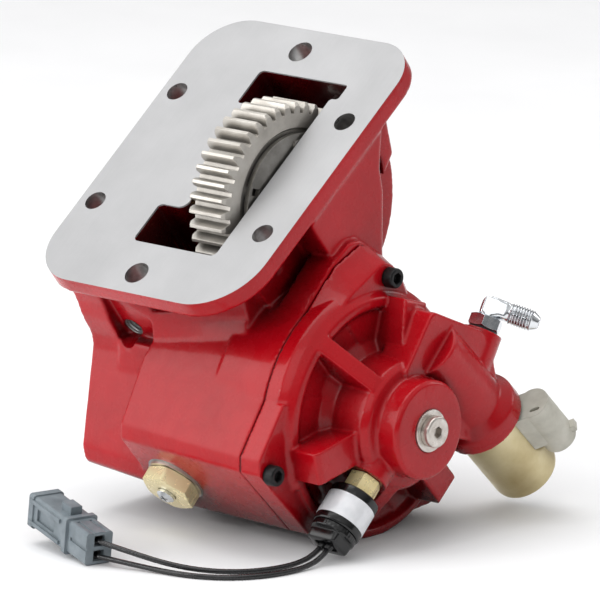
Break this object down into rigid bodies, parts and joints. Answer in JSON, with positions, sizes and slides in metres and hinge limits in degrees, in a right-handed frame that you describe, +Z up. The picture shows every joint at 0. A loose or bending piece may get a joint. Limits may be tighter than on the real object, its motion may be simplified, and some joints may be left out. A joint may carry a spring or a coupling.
{
  "type": "power take off unit",
  "caption": "Six-bolt power take off unit: red cast housing with tilted mounting face and exposed spur gear, clutch cover, solenoid valve, oil elbow, pressure switch and its wires.",
  "frame": {"origin": "centre of the six-bolt mounting face", "axes": "+X along the output shaft towards the clutch cover, +Z up, +Y level and away from the cover's oil switch side; the mounting face leans 38.1 degrees about X"},
  "size_m": [0.2012, 0.2441, 0.2309],
  "materials": {
    "red_paint": "glossy red paint over a casting, machined faces bare",
    "gasket": "dark gasket sheet",
    "black_oxide": "black oxide screws",
    "zinc_steel": "zinc plated steel",
    "bright_zinc": "bright zinc fitting",
    "gear_steel": "ground gear steel",
    "bearing_steel": "hardened bearing steel",
    "friction": "friction lining",
    "brass": "bright brass",
    "gold_zinc": "yellow passivated steel",
    "coil_zinc": "pale yellow zinc coil can",
    "black_plastic": "gloss black moulding",
    "silver_label": "bare silver band",
    "beige_plastic": "beige moulding",
    "grey_plastic": "blue grey moulding",
    "black_rubber": "black rubber",
    "wire": "black wire insulation"
  },
  "bodies": {
    "housing": {"housing": "red_paint", "cover_gasket": "gasket", "clutch_cover": "red_paint", "cover_screws": "black_oxide", "end_plug_washer": "zinc_steel", "end_plug": "zinc_steel", "dowel_pins": "bearing_steel", "input_shaft": "bearing_steel", "gear_thrust_ring": "gear_steel", "rear_thrust_washer": "gear_steel", "rear_bearing_outer": "bearing_steel", "bearing_snap_ring": "black_oxide", "rear_seal": "black_rubber", "front_bearing_outer": "bearing_steel", "valve_cartridge": "zinc_steel", "solenoid_coil": "coil_zinc", "coil_nut": "zinc_steel", "solenoid_connector": "beige_plastic", "solenoid_pins": "brass", "elbow_fitting": "bright_zinc", "elbow_lock_nut": "bright_zinc", "elbow_o_ring": "black_rubber", "drain_washer": "gold_zinc", "drain_plug": "gold_zinc", "drain_screw": "bright_zinc", "switch_adapter": "brass", "pressure_switch": "black_plastic", "switch_label": "silver_label", "switch_boot": "black_plastic", "switch_wire_a": "wire", "switch_wire_b": "wire", "wire_connector": "grey_plastic", "connector_lock": "grey_plastic", "wire_seals": "black_rubber"},
    "input_gear": {"input_gear": "gear_steel", "needle_rollers": "bearing_steel"},
    "clutch_gear": {"clutch_gear": "gear_steel", "clutch_gear_bush": "brass", "friction_discs": "friction"},
    "output_shaft": {"output_shaft": "gear_steel", "clutch_hub": "gear_steel", "hub_snap_ring": "black_oxide", "steel_plates": "bearing_steel", "backing_plate": "bearing_steel", "return_springs": "black_oxide", "rear_bearing_inner": "bearing_steel", "rear_bearing_balls": "bearing_steel", "shaft_snap_ring": "black_oxide", "front_bearing_inner": "bearing_steel", "front_bearing_balls": "bearing_steel", "shaft_spacer": "gear_steel", "shaft_seal_rings": "black_rubber", "clutch_thrust_washers": "brass"},
    "piston": {"clutch_piston": "gear_steel", "piston_seals": "black_rubber"},
    "valve_spool": {"valve_spool": "bearing_steel"}
  },
  "joints": [
    {"name": "clutch_gear_spin", "type": "hinge", "parent": "housing", "child": "clutch_gear", "pos_m": [0.022, 0.0156, -0.1173], "axis": [1, 0, 0], "continuous": true},
    {"name": "input_gear_spin", "type": "hinge", "parent": "housing", "child": "input_gear", "pos_m": [0.022, 0.0156, -0.0183], "axis": [1, 0, 0], "continuous": true},
    {"name": "output_shaft_spin", "type": "hinge", "parent": "housing", "child": "output_shaft", "pos_m": [0.03, 0.0156, -0.1173], "axis": [1, 0, 0], "continuous": true},
    {"name": "piston_slide", "type": "slide", "parent": "output_shaft", "child": "piston", "axis": [-1, 0, 0], "range_m": [0, 0.0022], "stiffness_N_per_m": 4000},
    {"name": "spool_slide", "type": "slide", "parent": "housing", "child": "valve_spool", "axis": [0, 0.7141, -0.7001], "range_m": [0, 0.0025], "stiffness_N_per_m": 400}
  ],
  "couplings": [
    {"joint": "input_gear_spin", "follows": "clutch_gear_spin", "ratio": -1.0952}
  ]
}
